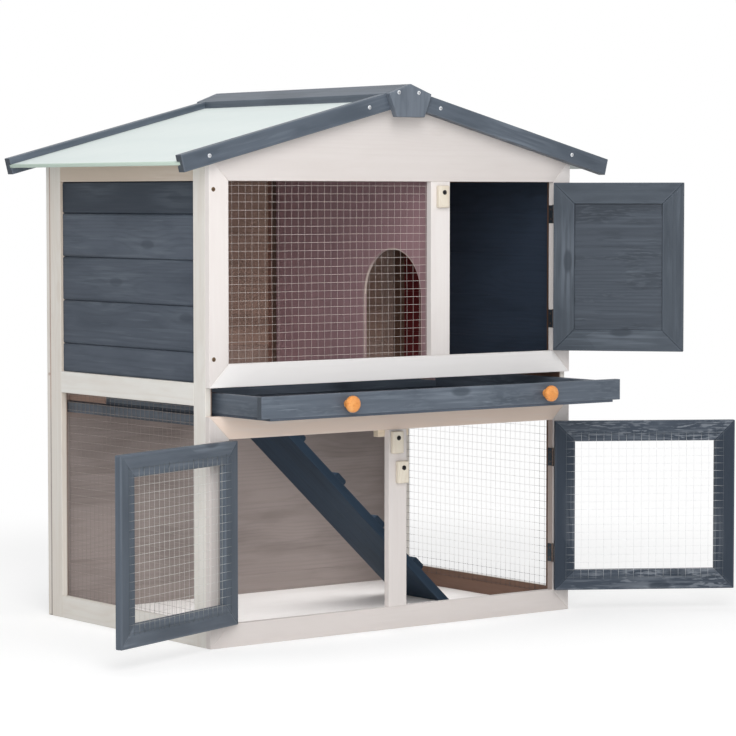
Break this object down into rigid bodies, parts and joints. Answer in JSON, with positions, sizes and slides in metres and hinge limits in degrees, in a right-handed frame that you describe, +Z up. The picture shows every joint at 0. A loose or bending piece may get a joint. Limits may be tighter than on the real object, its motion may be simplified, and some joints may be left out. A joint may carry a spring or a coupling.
{
  "type": "rabbit hutch",
  "caption": "Two-storey wooden rabbit hutch with pitched roof, mesh window, hinged doors with turn buttons, slide-out tray floor and a ramp down to an enclosed run",
  "frame": {"origin": "centre of the footprint, on the ground", "axes": "+X to the right seen from the front, +Y from the front to the back, +Z up; the doors and tray open towards -Y"},
  "size_m": [1.1972, 0.6888, 0.8734],
  "materials": {
    "whitewashed_pine": "whitewashed pine, thin matt paint over visible grain",
    "slate_paint": "pine brushed with slate blue-grey paint, satin, grain showing",
    "taupe_wash": "pine with a thin taupe wash, matt, grain showing",
    "navy_paint": "pine painted dark navy, satin",
    "roof_sheet": "pale mint-white weatherproof sheet, fine stipple",
    "welded_mesh": "galvanised welded wire",
    "hinge_steel": "dark bronzed steel",
    "orange_wood": "turned wood with clear orange stain",
    "bare_pine": "bare cream pine, sanded",
    "black_screw": "black oxide screw",
    "zinc_screw": "bright zinc-plated screw",
    "frame_screw": "yellowed countersunk screw"
  },
  "bodies": {
    "hutch_body": {"back_frame": "whitewashed_pine", "back_gable_board": "whitewashed_pine", "back_lower_boards": "taupe_wash", "back_upper_boards": "taupe_wash", "floor_panel": "whitewashed_pine", "frame_screws": "frame_screw", "front_gable_board": "whitewashed_pine", "front_left_barge_board": "slate_paint", "front_lower_bottom_rail": "whitewashed_pine", "front_lower_left_stile": "whitewashed_pine", "front_lower_mid_post": "whitewashed_pine", "front_lower_right_stile": "whitewashed_pine", "front_lower_top_rail": "whitewashed_pine", "front_right_barge_board": "slate_paint", "front_upper_bottom_rail": "whitewashed_pine", "front_upper_left_stile": "whitewashed_pine", "front_upper_mid_stile": "whitewashed_pine", "front_upper_right_stile": "whitewashed_pine", "hinge_pins": "hinge_steel", "jamb_hinge_leaves": "hinge_steel", "left_roof_sheet": "roof_sheet", "left_side_boards": "slate_paint", "left_side_frame": "whitewashed_pine", "left_side_mesh": "welded_mesh", "left_tray_runner": "slate_paint", "mid_post_cleat": "bare_pine", "partition": "taupe_wash", "partition_batten": "bare_pine", "ramp_board": "navy_paint", "ramp_cross_bars": "navy_paint", "ramp_head_batten": "whitewashed_pine", "rear_left_barge_board": "slate_paint", "rear_right_barge_board": "slate_paint", "ridge_end_plates": "slate_paint", "ridge_planks": "slate_paint", "right_roof_sheet": "roof_sheet", "right_side_boards": "slate_paint", "right_side_frame": "whitewashed_pine", "right_side_mesh": "welded_mesh", "right_tray_runner": "slate_paint", "roof_screws": "zinc_screw", "turn_button_screws": "black_screw", "window_mesh": "welded_mesh"},
    "tray": {"tray_back_board": "slate_paint", "tray_bottom": "slate_paint", "tray_front_board": "slate_paint", "tray_knobs": "orange_wood", "tray_sides": "slate_paint"},
    "upper_door": {"upper_door_frame": "slate_paint", "upper_door_hinge_leaves": "hinge_steel", "upper_door_panel": "slate_paint"},
    "lower_left_door": {"lower_left_door_frame": "slate_paint", "lower_left_door_hinge_leaves": "hinge_steel", "lower_left_door_mesh": "welded_mesh"},
    "lower_right_door": {"lower_right_door_frame": "slate_paint", "lower_right_door_hinge_leaves": "hinge_steel", "lower_right_door_mesh": "welded_mesh"},
    "upper_turn_button": {"upper_turn_button": "bare_pine"},
    "lower_left_turn_button": {"lower_left_turn_button": "bare_pine"},
    "lower_right_turn_button": {"lower_right_turn_button": "bare_pine"}
  },
  "joints": [
    {"name": "tray_slide", "type": "slide", "parent": "hutch_body", "child": "tray", "axis": [0, -1, 0], "range_m": [-0.131, 0.17]},
    {"name": "upper_door_hinge", "type": "hinge", "parent": "hutch_body", "child": "upper_door", "pos_m": [0.3275, -0.241, 0.5785], "axis": [0, 0, 1], "range_deg": [-131, 44]},
    {"name": "lower_left_door_hinge", "type": "hinge", "parent": "hutch_body", "child": "lower_left_door", "pos_m": [-0.3275, -0.241, 0.179], "axis": [0, 0, -1], "range_deg": [-158.5, 16.5]},
    {"name": "lower_right_door_hinge", "type": "hinge", "parent": "hutch_body", "child": "lower_right_door", "pos_m": [0.3275, -0.241, 0.179], "axis": [0, 0, 1], "range_deg": [-148, 27]},
    {"name": "upper_turn_button_pivot", "type": "hinge", "parent": "hutch_body", "child": "upper_turn_button", "pos_m": [0.0892, -0.2428, 0.7017], "axis": [0, 1, 0], "range_deg": [-90, 90]},
    {"name": "lower_left_turn_button_pivot", "type": "hinge", "parent": "hutch_body", "child": "lower_left_turn_button", "pos_m": [-0.0045, -0.2428, 0.3086], "axis": [0, 1, 0], "range_deg": [-90, 90]},
    {"name": "lower_right_turn_button_pivot", "type": "hinge", "parent": "hutch_body", "child": "lower_right_turn_button", "pos_m": [0.0062, -0.2428, 0.2601], "axis": [0, 1, 0], "range_deg": [-90, 90]}
  ]
}
